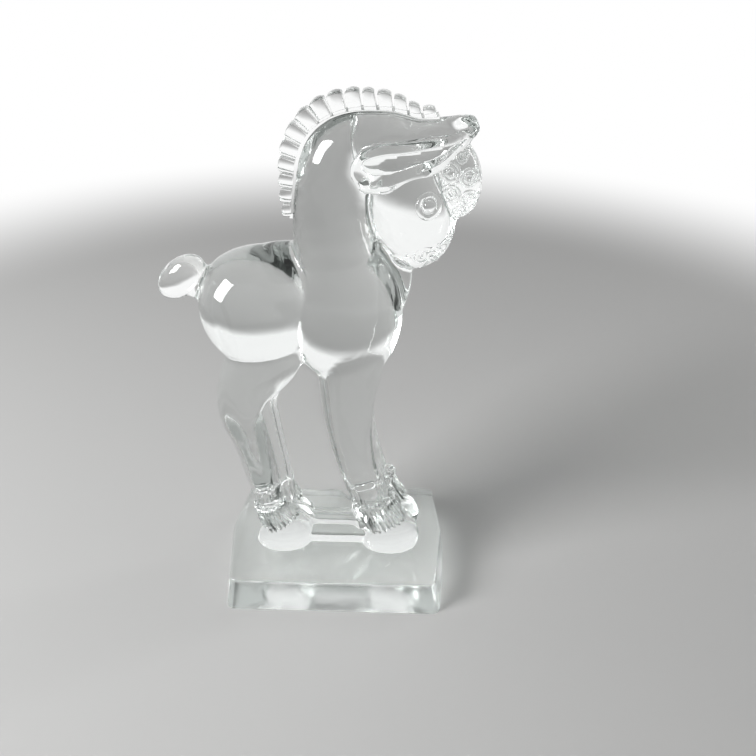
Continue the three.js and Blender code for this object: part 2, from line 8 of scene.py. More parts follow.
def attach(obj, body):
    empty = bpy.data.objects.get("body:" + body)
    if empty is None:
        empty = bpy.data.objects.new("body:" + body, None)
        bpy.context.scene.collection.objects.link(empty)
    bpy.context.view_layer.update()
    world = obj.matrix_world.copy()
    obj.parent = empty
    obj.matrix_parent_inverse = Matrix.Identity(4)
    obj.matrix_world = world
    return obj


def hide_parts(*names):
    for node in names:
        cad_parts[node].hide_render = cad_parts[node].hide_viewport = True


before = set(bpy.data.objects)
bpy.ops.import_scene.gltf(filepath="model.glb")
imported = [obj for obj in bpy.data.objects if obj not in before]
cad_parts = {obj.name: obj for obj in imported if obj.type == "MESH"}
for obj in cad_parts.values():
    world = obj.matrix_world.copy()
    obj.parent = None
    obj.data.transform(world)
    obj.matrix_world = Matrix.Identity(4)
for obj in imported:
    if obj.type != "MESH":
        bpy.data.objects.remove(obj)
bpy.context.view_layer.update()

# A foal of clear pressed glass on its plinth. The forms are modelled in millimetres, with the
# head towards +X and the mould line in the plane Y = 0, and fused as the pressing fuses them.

MM = 0.001  # metres

# Sizes of the foal in millimetres, most of them the CAD model's
PLINTH_LENGTH = 51.0
PLINTH_DEPTH = 33.2
PLINTH_EDGE = 8.6  # height at the long sides
PLINTH_RIDGE = 10.2  # height along the middle
PLINTH_POINT = 1.7  # how far each end runs out to a point
PLINTH_END_FLARE = 1.3
PLINTH_SIDE_FLARE = 0.9
PLINTH_CORNER = 1.6
PLINTH_RIM = 0.7
SILL_RISE = 3.3
SILL_ROOT = 3.0
SILL_ROOF = 0.7
SILL_WIDE = 9.4

HIND_FOOT_X = -12.2
FORE_FOOT_X = 13.2
FOOT_SPREAD = 3.7
HOOF_RISE = 0.3  # of its middle over the plinth's ridge
HIND_HOOF_LONG = 15.6
FORE_HOOF_LONG = 16.6
HOOF_DEEP = 13.0
HOOF_WIDE = 8.4
HOOF_TILT = -0.5
FLUTES = 24
FLUTE_DEPTH = 0.3  # share of the band's half size
LEG_SPREAD = 3.7
LEG_SQUARENESS = 2.4  # 2 is an ellipse, and more is squarer
CORE_SHARE = 0.88  # of the legs' half size, front to back
CORE_WIDTH = 3.2
WEB_THICK = 2.4
WEB_MOST = 3.4  # half the thickness that the hollows reach at most
WEB_TO_LEG = (2.2, 2.8)  # rise and reach of the hollow to a leg
WEB_TO_SILL = (1.5, 4.4)

TRUNK_Z = 71.5
CREASE_X = -4.4
HIP_X = -13.3
HIP_LENGTH = 24.6
HIP_TALL = 25.6
HIP_WIDE = 20.8
HIP_RISE = 4.2
RUMP_X = HIP_X - HIP_LENGTH / 2
CHEST_X = HIP_X + 16.4
CHEST_LENGTH = 23.6
CHEST_WIDE = 19.6
CHEST_TOP = 12.0

NECK_X = CHEST_X - 1.2
POLL_X = CHEST_X + 8.4
POLL_RISE = 32.4
POLL_Z = TRUNK_Z + POLL_RISE
HEAD_X = POLL_X + 5.2
HEAD_Z = POLL_Z - 9.72
EAR_ROOT_X = POLL_X - 5.9
EAR_LENGTH = 22.6
EAR_TIP_X = EAR_ROOT_X + EAR_LENGTH

MANE_TABS = 15
MANE_WIDTH = 3.0
MANE_HEIGHT = 4.0
MANE_START = 0.275  # share of the neck's way
MANE_SPAN = 0.63
TAB_ARCH = 1.3
TAB_ROOT = 1.2
TAB_ROUND = 0.22
CREST_RISE = 0.4
CREST_ROOT = 1.4
CREST_WIDE = 3.4
CURL_THICK = 0.7
NOSTRIL_THICK = 0.85

# Smoothness of the skin
GRAIN = 0.5
POLISH = 9
CREASE_POLISH = 60
SHARP_FROM = math.radians(38)


# Shaping

def on_curve(points, share):
    """The point at a share of the way along a smooth curve through the points."""
    last = len(points) - 1
    place = min(max(share, 0.0), 1.0) * last
    step = min(int(place), last - 1)
    part = place - step
    b, c = points[step], points[step + 1]
    a = points[step - 1] if step else 2 * points[0] - points[1]
    d = points[step + 2] if step + 2 <= last else 2 * points[-1] - points[-2]
    least = 1e-4
    before, mid, after = (math.sqrt((q - p).length) for p, q in ((a, b), (b, c), (c, d)))
    mid = mid if mid > least else 1.0
    before = before if before > least else mid
    after = after if after > least else mid
    leave = ((b - a) / before - (c - a) / (before + mid) + (c - b) / mid) * mid
    arrive = ((c - b) / mid - (d - b) / (mid + after) + (d - c) / after) * mid
    bend = 3 * (c - b) - 2 * leave - arrive
    twist = 2 * (b - c) + leave + arrive
    return b + part * (leave + part * (bend + part * twist))


def station(x, z, reach, width, y=0.0):
    """A place along a limb: its middle, and half its size front to back and side to side."""
    return Vector((x, y, z)), Vector((reach, width, 0.0))


def limb_frame(stations, share):
    """Middle, direction, front, side and half sizes of a limb at a share of its length."""
    middles = [s[0] for s in stations]
    point = on_curve(middles, share)
    nudge = 1e-4
    along = on_curve(middles, min(1.0, share + nudge)) - on_curve(middles, max(0.0, share - nudge))
    along.normalize()
    front = Vector((along.z, 0.0, -along.x)).normalized()
    size = on_curve([s[1] for s in stations], share)
    return point, along, front, front.cross(along), size.x, size.y


def limb_ring(stations, share, radius):
    """The transform that lays a unit circle round the limb."""
    point, along, front, out, reach, width = limb_frame(stations, share)
    columns = (front * (reach * radius), out * (width * radius), along)
    ring = Matrix([[column[row] for column in columns] for row in range(3)]).to_4x4()
    return Matrix.Translation(point) @ ring


def grown_through(form, places):
    """Grows a closed form from a unit circle: its cap is extruded from place to place."""
    cap = form.faces[:][0]
    bmesh.ops.transform(form, matrix=places[0], verts=form.verts)
    for step, (before, after) in enumerate(zip(places, places[1:])):
        grown = bmesh.ops.extrude_face_region(form, geom=[cap])["geom"]
        ahead = next(f for f in grown if isinstance(f, bmesh.types.BMFace))
        bmesh.ops.transform(form, matrix=after @ before.inverted(), verts=ahead.verts)
        if step:
            bmesh.ops.delete(form, geom=[cap], context="FACES_ONLY")
        cap = ahead
    bmesh.ops.recalc_face_normals(form, faces=form.faces)


def limb(stations, bluntness=5.0, rings=36, around=40, flutes=0, flute_depth=0.0, squareness=2.0):
    """A limb grown ring by ring through its stations, with domed ends."""
    form = bmesh.new()
    bmesh.ops.create_circle(form, cap_ends=True, segments=around, radius=1.0)
    for corner in form.verts:
        angle = math.atan2(corner.co.y, corner.co.x)
        flat = abs(math.cos(angle)) ** squareness + abs(math.sin(angle)) ** squareness
        corner.co *= flat ** (-1 / squareness)
        corner.co *= 1 - flute_depth * abs(math.sin(flutes * angle / 2))
    places = []
    for ring in range(1, rings):
        share = (1 - math.cos(math.pi * ring / rings)) / 2
        radius = (1 - abs(2 * share - 1) ** bluntness) ** (1 / bluntness)
        places.append(limb_ring(stations, share, radius))
    grown_through(form, places)
    caps = [f for f in form.faces if len(f.verts) == around]
    ends = [on_curve([s[0] for s in stations], share) for share in (0.0, 1.0)]
    for pole in bmesh.ops.poke(form, faces=caps)["verts"]:
        pole.co = min(ends, key=lambda end: (end - pole.co).length)
    return form


def egg(x, z, long, deep, wide, tilt=0.0, y=0.0, around=64, rings=40):
    """An ellipsoid, upright before its tilt swings its lower end forward."""
    size = Matrix.Diagonal((deep / 2, wide / 2, long / 2, 1.0))
    swing = Matrix.Rotation(-tilt, 4, "Y")
    form = bmesh.new()
    bmesh.ops.create_uvsphere(
        form,
        u_segments=around,
        v_segments=rings,
        radius=1.0,
        matrix=Matrix.Translation((x, y, z)) @ swing @ size,
    )
    return form


def sheet_of_glass(outline, thick):
    """A flat web: its outline in the side view, extruded evenly to both sides."""
    form = bmesh.new()
    corners = [form.verts.new((x, -thick / 2, z)) for x, z in outline]
    face = form.faces.new(corners)
    grown = bmesh.ops.extrude_face_region(form, geom=[face])["geom"]
    moved = [v for v in grown if isinstance(v, bmesh.types.BMVert)]
    bmesh.ops.translate(form, vec=(0.0, thick, 0.0), verts=moved)
    bmesh.ops.recalc_face_normals(form, faces=form.faces)
    return form


def soften(form, edges, width, steps=4):
    """Rounds edges as fire polishing does."""
    bmesh.ops.bevel(
        form,
        geom=list(edges),
        offset=width,
        offset_type="OFFSET",
        segments=steps,
        profile=0.5,
        affect="EDGES",
        material=-1,
        clamp_overlap=True,
    )


def joined(forms):
    """One bmesh that holds all the forms."""
    whole = bmesh.new()
    for form in forms:
        step = bpy.data.meshes.new("step")
        form.to_mesh(step)
        form.free()
        whole.from_mesh(step)
        bpy.data.meshes.remove(step)
    return whole


def shown(form, name):
    """Puts a bmesh into the scene as an object."""
    mesh = bpy.data.meshes.new(name)
    form.to_mesh(mesh)
    form.free()
    made = bpy.data.objects.new(name, mesh)
    bpy.context.scene.collection.objects.link(made)
    return made


def settle(made):
    """Applies an object's modifiers to its mesh."""
    graph = bpy.context.evaluated_depsgraph_get()
    mesh = bpy.data.meshes.new_from_object(made.evaluated_get(graph), depsgraph=graph)
    made.modifiers.clear()
    made.data = mesh


def fuse(form, name, grain, polish):
    """Melts overlapping forms into one skin with this grain, then polishes it smooth."""
    made = shown(form, name)
    melt = made.modifiers.new("melt", "REMESH")
    melt.mode = "VOXEL"
    melt.voxel_size = grain
    melt.use_smooth_shade = True
    fire = made.modifiers.new("fire_polish", "SMOOTH")
    fire.factor = 0.5
    fire.iterations = polish
    settle(made)
    return made


def polish_crease(made, x, reach, low, high, polish):
    """Polishes the crease at x further, fading to both sides of it, between two heights."""
    group = made.vertex_groups.new(name="crease")
    for corner in made.data.vertices:
        share = 1 - abs(corner.co.x - x) / reach
        if share > 0 and low < corner.co.z < high:
            group.add([corner.index], share, "REPLACE")
    fire = made.modifiers.new("fire_polish", "SMOOTH")
    fire.factor = 0.5
    fire.iterations = polish
    fire.vertex_group = group.name
    settle(made)
    made.vertex_groups.clear()


def weld(made, forms, operation="UNION"):
    """Joins forms to an object one after the other, or cuts them out of it."""
    tools = [shown(form, "tool") for form in forms]
    for tool in tools:
        step = made.modifiers.new("weld", "BOOLEAN")
        step.operation = operation
        step.solver = "MANIFOLD"
        step.object = tool
    settle(made)
    for tool in tools:
        bpy.data.objects.remove(tool)


def drop_chips(made):
    """Deletes the specks that the cuts leave beside the one pressing."""
    form = bmesh.new()
    form.from_mesh(made.data)
    left = set(form.verts)
    islands = []
    while left:
        reached = [left.pop()]
        for vert in reached:
            for edge in vert.link_edges:
                other = edge.other_vert(vert)
                if other in left:
                    left.remove(other)
                    reached.append(other)
        islands.append(reached)
    islands.sort(key=len)
    chips = [vert for island in islands[:-1] for vert in island]
    bmesh.ops.delete(form, geom=chips, context="VERTS")
    form.to_mesh(made.data)
    form.free()


# Plinth and feet

def plinth():
    """A block with a roof that slopes from its ridge, pointed ends and a flared foot."""
    half_long = PLINTH_LENGTH / 2
    half_deep = PLINTH_DEPTH / 2
    form = bmesh.new()
    bmesh.ops.create_grid(form, x_segments=2, y_segments=2, size=1.0)
    for corner in form.verts:
        x, y = corner.co.x, corner.co.y
        end = half_long - PLINTH_POINT * abs(y)
        corner.co = Vector((
            x * (end + PLINTH_END_FLARE),
            y * (half_deep + PLINTH_SIDE_FLARE),
            0.0,
        ))
    top = bmesh.ops.extrude_face_region(form, geom=form.faces[:])["geom"]
    for corner in [v for v in top if isinstance(v, bmesh.types.BMVert)]:
        x = corner.co.x / (half_long + PLINTH_END_FLARE)
        y = corner.co.y / (half_deep + PLINTH_SIDE_FLARE)
        corner.co.x -= PLINTH_END_FLARE * (1 if x > 0.5 else -1 if x < -0.5 else 0)
        corner.co.y -= PLINTH_SIDE_FLARE * y
        corner.co.z = PLINTH_RIDGE - (PLINTH_RIDGE - PLINTH_EDGE) * abs(y)
    bmesh.ops.recalc_face_normals(form, faces=form.faces)
    # The four corners, but not the upright edge at the point of each end
    upright = [
        e for e in form.edges
        if abs(e.verts[0].co.z - e.verts[1].co.z) > PLINTH_EDGE / 2 and abs(e.verts[0].co.y) > 1
    ]
    soften(form, upright, PLINTH_CORNER)
    crisp = 0.6
    rim = [
        e for e in form.edges
        if e.calc_face_angle(0.0) > crisp and min(v.co.z for v in e.verts) > PLINTH_EDGE - 1
    ]
    soften(form, rim, PLINTH_RIM)
    return form


def hoof(hind, side):
    """A domed hoof, steeper at the toe."""
    return egg(
        x=HIND_FOOT_X if hind else FORE_FOOT_X,
        z=PLINTH_RIDGE + HOOF_RISE,
        long=HIND_HOOF_LONG if hind else FORE_HOOF_LONG,
        deep=HOOF_DEEP,
        wide=HOOF_WIDE,
        tilt=HOOF_TILT,
        y=side * FOOT_SPREAD,
    )


# Middle and half size of a band, front to back and side to side, from the collar down
HIND_BAND = (
    (-15.2, 22.4, 3.1, 3.5),
    (-14.7, 20.3, 3.7, 3.5),
    (-13.8, 18.0, 4.6, 3.7),
    (-12.3, 15.6, 5.5, 3.9),
)
FORE_BAND = (
    (9.2, 24.3, 4.6, 3.6),
    (9.9, 21.8, 4.9, 3.6),
    (10.9, 19.0, 5.3, 3.8),
    (12.3, 15.8, 5.8, 4.0),
)


def band_stations(hind, side):
    """The way of a fluted band, from under the collar down to the hoof, flaring to the toe."""
    return [station(*row, side * FOOT_SPREAD) for row in (HIND_BAND if hind else FORE_BAND)]


def band(hind, side):
    """The fluted band round a fetlock."""
    way = band_stations(hind, side)
    return limb(way, bluntness=12.0, rings=14, around=144, flutes=FLUTES, flute_depth=FLUTE_DEPTH)


def collar(hind, side):
    """The lumpy ring of glass over a fluted band, more uneven on a foreleg."""
    middle, _, front, out, reach, width = limb_frame(band_stations(hind, side), 0.06)
    lumps = 16 if hind else 13
    sunk = 0.93
    forms = []
    for i in range(lumps):
        angle = 2 * math.pi * i / lumps
        ahead = front * (reach * sunk * math.cos(angle))
        aside = out * (width * sunk * math.sin(angle))
        spot = middle + ahead + aside
        size = 1.7 if hind else 2.1 + 0.25 * math.sin(5.0 * i)
        tall = 1.0 if hind else 2.0 + 0.3 * math.sin(3.0 * i)
        forms.append(egg(spot.x, spot.z, tall, size, size, y=spot.y, around=16, rings=10))
    return forms


def sill():
    """The low bar of glass between the fore and hind feet, with a roof like the plinth's."""
    low = PLINTH_RIDGE - SILL_ROOT
    high = PLINTH_RIDGE + SILL_RISE
    outline = (HIND_FOOT_X, low), (FORE_FOOT_X, low), (FORE_FOOT_X, high), (HIND_FOOT_X, high)
    form = sheet_of_glass(outline, SILL_WIDE)
    for corner in form.verts:
        if corner.co.z > PLINTH_RIDGE:
            corner.co.z -= SILL_ROOF
    bmesh.ops.bisect_plane(
        form,
        geom=form.verts[:] + form.edges[:] + form.faces[:],
        plane_co=(0, 0, 0),
        plane_no=(0, 1, 0),
    )
    for corner in form.verts:
        if abs(corner.co.y) < 0.01 and corner.co.z > PLINTH_RIDGE:
            corner.co.z += SILL_ROOF
    return form


# Legs

# Middle and half size of a leg, front to back and side to side, from the fetlock up
HIND_LEG = (
    (-15.0, 19.5, 2.9, 3.4),
    (-15.3, 24.5, 3.0, 3.4),
    (-16.3, 31.0, 3.5, 3.6),
    (-17.9, 41.0, 3.9, 3.7),
    (-19.4, 48.6, 4.7, 3.8),
    (-18.2, 53.6, 5.7, 3.9),
    (-15.5, 58.2, 6.8, 4.0),
    (-12.4, 63.0, 7.4, 4.0),
    (-11.5, 69.0, 7.4, 4.0),
)
FORELEG = (
    (10.3, 19.3, 4.0, 3.4),
    (9.2, 23.2, 4.0, 3.4),
    (7.7, 28.6, 4.0, 3.6),
    (6.0, 35.5, 4.0, 3.7),
    (4.8, 44.5, 4.3, 3.8),
    (4.9, 54.0, 5.1, 3.9),
    (5.4, 59.5, 6.0, 3.9),
    (5.4, 66.0, 6.0, 3.9),
)


def leg(table, side):
    """A leg on one side."""
    way = [station(x, z, reach, width, side * LEG_SPREAD) for x, z, reach, width in table]
    return limb(way, bluntness=6.0, rings=64, around=48, squareness=LEG_SQUARENESS)


def leg_core(table):
    """The glass between a pair of legs, which leaves a shallow groove along them."""
    way = [station(x, z, reach * CORE_SHARE, CORE_WIDTH) for x, z, reach, _ in table]
    return limb(way, bluntness=6.0, rings=64, around=48)


def at_height(table, z, way):
    """The middle of a leg at a height, or its front edge for way 1 and its back edge for way -1."""
    place = 0
    while place < len(table) - 2 and z > table[place + 1][1]:
        place += 1
    below, above = table[place], table[place + 1]
    share = min(max((z - below[1]) / (above[1] - below[1]), 0.0), 1.0)
    return (below[0] + way * below[2]) * (1 - share) + (above[0] + way * above[2]) * share


def hollow(gap, rise, reach):
    """Falls from its rise to 0 in a hollow curve over its reach."""
    return rise * (1 - min(max(gap / reach, 0.0), 1.0)) ** 2


def leg_web():
    """The thin web of glass between the legs, which swells in hollows to the legs and the sill."""
    low, high = PLINTH_RIDGE + 0.4, TRUNK_Z
    sill_top = PLINTH_RIDGE + 2.1
    form = bmesh.new()
    bmesh.ops.create_grid(form, x_segments=64, y_segments=120, size=0.5)
    grown = bmesh.ops.extrude_face_region(form, geom=form.faces[:])["geom"]
    left = {v for v in grown if isinstance(v, bmesh.types.BMVert)}
    for corner in form.verts:
        z = low + (corner.co.y + 0.5) * (high - low)
        back, front = at_height(HIND_LEG, z, 0), at_height(FORELEG, z, 0)
        x = back + (corner.co.x + 0.5) * (front - back)
        gap = min(x - at_height(HIND_LEG, z, 1), at_height(FORELEG, z, -1) - x)
        thick = WEB_THICK / 2 + hollow(gap, *WEB_TO_LEG) + hollow(z - sill_top, *WEB_TO_SILL)
        thick = min(thick, WEB_MOST)
        corner.co = Vector((x, thick if corner in left else -thick, z))
    bmesh.ops.recalc_face_normals(form, faces=form.faces)
    return form


# Trunk and tail

# Share of the hindquarters' length, and how much lower and narrower they are there
HIP_TAPER = (
    (0.0, 3.4, 2.04),
    (0.22, 0.88, 0.0),
    (0.48, 0.0, 0.0),
    (0.75, 0.0, 0.82),
    (1.0, 0.61, 1.6),
)


def hindquarters():
    """The lobe of the rump, from the tail to the chest."""
    way = []
    for share, lower, narrower in HIP_TAPER:
        x = RUMP_X + HIP_LENGTH * share
        z = TRUNK_Z + HIP_RISE * (share - 0.4)
        way.append(station(x, z, HIP_TALL / 2 - lower, HIP_WIDE / 2 - narrower))
    return limb(way, bluntness=2.5, rings=48, around=56)


def saddle():
    """The level back between the hind lobe and the neck."""
    return limb([
        station(-14.0, TRUNK_Z + 3.4, 8.8, 9.4),
        station(-9.5, TRUNK_Z + 5.1, 8.8, 9.0),
        station(-5.0, TRUNK_Z + 5.6, 8.6, 8.3),
        station(0.0, TRUNK_Z + 5.4, 8.4, 7.4),
    ], bluntness=4.0, rings=40, around=40)


def chest():
    """The egg of the chest and the swell that carries it up into the neck."""
    half, wide = CHEST_LENGTH / 2, CHEST_WIDE / 2
    rise = limb([
        station(CHEST_X + 0.3, TRUNK_Z - 9.0, half - 3.6, wide * 0.72),
        station(CHEST_X, TRUNK_Z, half, wide),
        station(NECK_X, TRUNK_Z + CHEST_TOP, 8.1, 8.4),
        station(NECK_X + 0.1, TRUNK_Z + 23.0, 6.9, 7.1),
    ], bluntness=3.0, rings=60, around=56)
    return [egg(CHEST_X + 0.3, TRUNK_Z, 34.0, CHEST_LENGTH, CHEST_WIDE), rise]


def tail():
    """A drop of glass that turns up from the rump."""
    x, z = RUMP_X - 3.15, TRUNK_Z + 6.8
    root = limb([
        station(x + 1.0, z - 1.4, 2.4, 2.3),
        station(x + 2.6, z - 2.3, 2.2, 2.2),
        station(RUMP_X + 2.3, z - 3.6, 2.2, 2.2),
    ])
    return [egg(x, z, long=11.9, deep=7.3, wide=6.2, tilt=-0.84), root]


# Neck and head

NECK = [
    station(NECK_X, TRUNK_Z + 2.0, 8.1, 8.4),
    station(NECK_X, TRUNK_Z + CHEST_TOP, 8.1, 8.4),
    station(NECK_X, TRUNK_Z + POLL_RISE * 0.74, 7.2, 7.4),
    station((NECK_X + POLL_X) / 2 - 2.3, POLL_Z - 1.9, 7.81, 6.4),
    station(POLL_X, POLL_Z, 7.1, 6.4),
    station(POLL_X + 7.0, POLL_Z + 1.1, 4.8, 5.0),
    station(EAR_TIP_X - 0.5, POLL_Z + 5.0, 2.3, 2.2),
]

HEAD = dict(x=HEAD_X - 0.7, z=HEAD_Z, long=24.0, deep=15.8, wide=14.4, tilt=0.24)
MUZZLE = dict(x=HEAD_X + 1.9, z=HEAD_Z - 7.6, long=13.0, deep=9.0, wide=9.8, tilt=-0.9)
LIP = dict(x=HEAD_X - 1.6, z=HEAD_Z - 10.6, long=3.4, deep=6.6, wide=7.2, tilt=-0.6)
FORELOCK = dict(x=HEAD_X + 7.9, z=HEAD_Z + 4.7, long=14.4, deep=9.0, wide=10.4, tilt=0.12)


def nose_bridge():
    """The raised flat-sided bridge from the brow to the nose."""
    return limb([
        station(HEAD_X + 5.1, HEAD_Z + 4.0, 2.2, 2.6),
        station(HEAD_X + 5.7, HEAD_Z - 1.0, 2.3, 2.6),
        station(HEAD_X + 5.4, HEAD_Z - 6.0, 2.4, 2.7),
        station(HEAD_X + 3.6, HEAD_Z - 9.4, 2.3, 2.7),
    ], bluntness=5.0, rings=30, around=32)


def mouth(side):
    """The slot between the lips on one side, to cut."""
    return egg(
        x=HEAD_X - 1.6,
        z=HEAD_Z - 11.0,
        long=0.9,
        deep=4.6,
        wide=2.8,
        tilt=-0.32,
        y=side * 3.5,
        around=32,
        rings=16,
    )


# Middle, size, turns and start of each curl on a side of the forelock
FORELOCK_CURLS = (
    (-1.7, 2.6, 1.9, 2.1, 1.6),
    (1.6, 1.9, 1.9, 2.1, 0.4),
    (-1.3, -1.3, 1.8, 2.1, 2.6),
    (1.9, -1.9, 1.7, 2.0, -0.6),
    (0.1, -4.4, 1.6, 1.9, 1.2),
    (0.2, 5.2, 1.4, 1.6, -1.0),
)
# The same for the curls of a nostril, on the muzzle
NOSTRIL_CURLS = (
    (-0.5, -0.8, 1.5, 1.8, 0.6),
    (1.9, -0.9, 1.6, 1.8, 3.4),
)


def throat_web():
    """The web of glass from the chin down to the chest, thinner at its front."""
    chin = HEAD_Z - 11.4
    front = CHEST_X + CHEST_LENGTH / 2
    bulge_x, bulge_z = front + 2.7, (chin + TRUNK_Z) / 2
    steps = 8
    edge = []
    for i in range(steps + 1):
        t = i / steps
        x = (1 - t) ** 2 * HEAD_X + 2 * t * (1 - t) * bulge_x + t * t * front
        z = (1 - t) ** 2 * chin + 2 * t * (1 - t) * bulge_z + t * t * TRUNK_Z
        edge.append((x, z))
    form = sheet_of_glass([(NECK_X, HEAD_Z - 3.8), *edge, (CHEST_X, TRUNK_Z)], thick=6.4)
    for corner in form.verts:
        if corner.co.x > NECK_X + 8.0:
            corner.co.y *= 0.35
    return form


def egg_side(base, dx, dz, side):
    """The point on an egg's side at dx, dz from its middle, and the direction out of it."""
    tilt = base["tilt"]
    forward = dx * math.cos(tilt) + dz * math.sin(tilt)
    up = dz * math.cos(tilt) - dx * math.sin(tilt)
    share = max(0.0, 1 - (2 * forward / base["deep"]) ** 2 - (2 * up / base["long"]) ** 2)
    y = side * base["wide"] * math.sqrt(share) / 2
    normal = Vector((forward / base["deep"] ** 2, y / base["wide"] ** 2, up / base["long"] ** 2))
    normal.rotate(Matrix.Rotation(-tilt, 3, "Y"))
    return Vector((base["x"] + dx, y, base["z"] + dz)), normal.normalized()


def curl(base, dx, dz, radius, turns, start, side, thick):
    """A rope of glass that winds out over the side of an egg."""
    steps_a_turn = 14
    steps = int(turns * steps_a_turn)
    spiral = []
    for i in range(steps + 1):
        share = i / steps
        angle = start + 2 * math.pi * turns * share
        swing = radius * (0.18 + 0.82 * share)
        point, _ = egg_side(base, dx + swing * math.cos(angle), dz + swing * math.sin(angle), side)
        spiral.append(point)
    places = []
    for i, point in enumerate(spiral):
        along = (spiral[min(i + 1, steps)] - spiral[max(i - 1, 0)]).normalized()
        out = Vector((0.0, side, 0.0))
        across = out.cross(along).normalized()
        turn = Matrix([[c[row] for c in (across, along.cross(across), along)] for row in range(3)])
        places.append(Matrix.Translation(point) @ turn.to_4x4())
    form = bmesh.new()
    bmesh.ops.create_circle(form, cap_ends=True, segments=12, radius=thick / 2)
    grown_through(form, places)
    return form


# Share of the ear's length, rise over its root and half its depth there
EAR = (
    (0.0, 0.0, 2.9),
    (0.1, 0.0, 4.5),
    (0.25, 0.25, 4.6),
    (0.45, 1.1, 3.9),
    (0.68, 2.5, 3.1),
    (0.86, 4.5, 1.8),
    (0.94, 5.6, 1.1),
)


def ear_stations(side, out, narrower):
    """The way of an ear from its root beside the poll to its tip over the brow."""
    stations = []
    for share, rise, deep in EAR:
        away = 6.4 - 5.5 * share ** 1.6 + out
        thick = 3.0 - 1.2 * share ** 4
        x = EAR_ROOT_X + EAR_LENGTH * share
        z = POLL_Z - 1.7 + rise
        stations.append(station(x, z, max(0.4, deep - narrower), thick / 2, side * away))
    return stations


def ear(side):
    """A leaf of glass with a hollow in its outer face."""
    shape = dict(bluntness=3.0, rings=48, around=40)
    leaf = shown(limb(ear_stations(side, out=0.0, narrower=0.0), **shape), "ear")
    weld(leaf, [limb(ear_stations(side, out=1.9, narrower=1.35), **shape)], "DIFFERENCE")
    form = bmesh.new()
    form.from_mesh(leaf.data)
    bpy.data.objects.remove(leaf)
    return form


def ball(point, size):
    """A ball of glass."""
    return egg(point.x, point.z, size, size, size, y=point.y, around=32, rings=20)


def ring_of_glass(point, normal, radius, thick):
    """A torus that lies on a surface."""
    form = bmesh.new()
    bmesh.ops.create_circle(
        form,
        cap_ends=False,
        segments=12,
        radius=thick / 2,
        matrix=Matrix.Translation((radius, 0, 0)) @ Matrix.Rotation(math.pi / 2, 4, "X"),
    )
    bmesh.ops.spin(
        form,
        geom=form.verts[:] + form.edges[:],
        cent=(0, 0, 0),
        axis=(0, 0, 1),
        angle=2 * math.pi,
        steps=40,
        use_merge=True,
    )
    bmesh.ops.remove_doubles(form, verts=form.verts, dist=1e-4)
    turn = normal.to_track_quat("Z", "Y").to_matrix().to_4x4()
    bmesh.ops.transform(form, matrix=Matrix.Translation(point) @ turn, verts=form.verts)
    bmesh.ops.recalc_face_normals(form, faces=form.faces)
    return form


def eye(side):
    """An eye: a small ball in a ring of glass."""
    point, normal = egg_side(HEAD, 3.2, 1.9, side)
    return [
        ring_of_glass(point + normal * 0.35, normal, radius=2.0, thick=1.1),
        ball(point + normal * 0.3, size=2.3),
    ]


# Mane

def mane_edge(share):
    """The point on the back of the neck at a share of the mane's way, and the way out of it."""
    point, _, front, _, reach, _ = limb_frame(NECK, MANE_START + MANE_SPAN * share)
    return point - front * reach, -front


def mane_lengths(steps=96):
    """The share of the mane's length that lies before each step of its way."""
    points = [mane_edge(i / steps)[0] for i in range(steps + 1)]
    total = [0.0]
    for a, b in zip(points, points[1:]):
        total.append(total[-1] + (b - a).length)
    return [t / total[-1] for t in total]


MANE_SHARES = mane_lengths()


def mane_at(share):
    """The mane's edge at a share of its length, so that the tabs are equally long."""
    steps = len(MANE_SHARES) - 1
    for i in range(steps):
        if MANE_SHARES[i + 1] >= share:
            gap = MANE_SHARES[i + 1] - MANE_SHARES[i]
            return mane_edge((i + (share - MANE_SHARES[i]) / gap) / steps)
    return mane_edge(1.0)


def tab_height(share):
    """The height of the mane, which falls towards both its ends."""
    return MANE_HEIGHT * math.sin(math.pi * (0.08 + 0.84 * share)) ** 0.6


def mane_tab(index):
    """An upright tab with an arched top, its corners rounded by the fire."""
    start, end = (index + 0.08) / MANE_TABS, (index + 0.92) / MANE_TABS
    height = tab_height((start + end) / 2) - CREST_RISE
    arch = []
    for part in (0, 0.2, 0.4, 0.6, 0.8, 1):
        arch.append((start + (end - start) * part, height + TAB_ARCH * part * (1 - part)))
    outline = []
    for share, rise in [(start, -TAB_ROOT), *arch, (end, -TAB_ROOT)]:
        point, out = mane_at(share)
        outline.append((point.x + out.x * rise, point.z + out.z * rise))
    form = sheet_of_glass(outline, MANE_WIDTH)
    crisp = 0.9
    soften(form, [e for e in form.edges if e.calc_face_angle(0.0) > crisp], TAB_ROUND, steps=2)
    return form


def mane_crest():
    """The low band of glass that the tabs stand on."""
    steps = 30
    outer, inner = [], []
    for i in range(steps + 1):
        point, out = mane_at(i / steps)
        outer.append((point.x + out.x * CREST_RISE, point.z + out.z * CREST_RISE))
        inner.append((point.x - out.x * CREST_ROOT, point.z - out.z * CREST_ROOT))
    return sheet_of_glass(outer + inner[::-1], CREST_WIDE)


# Whole foal

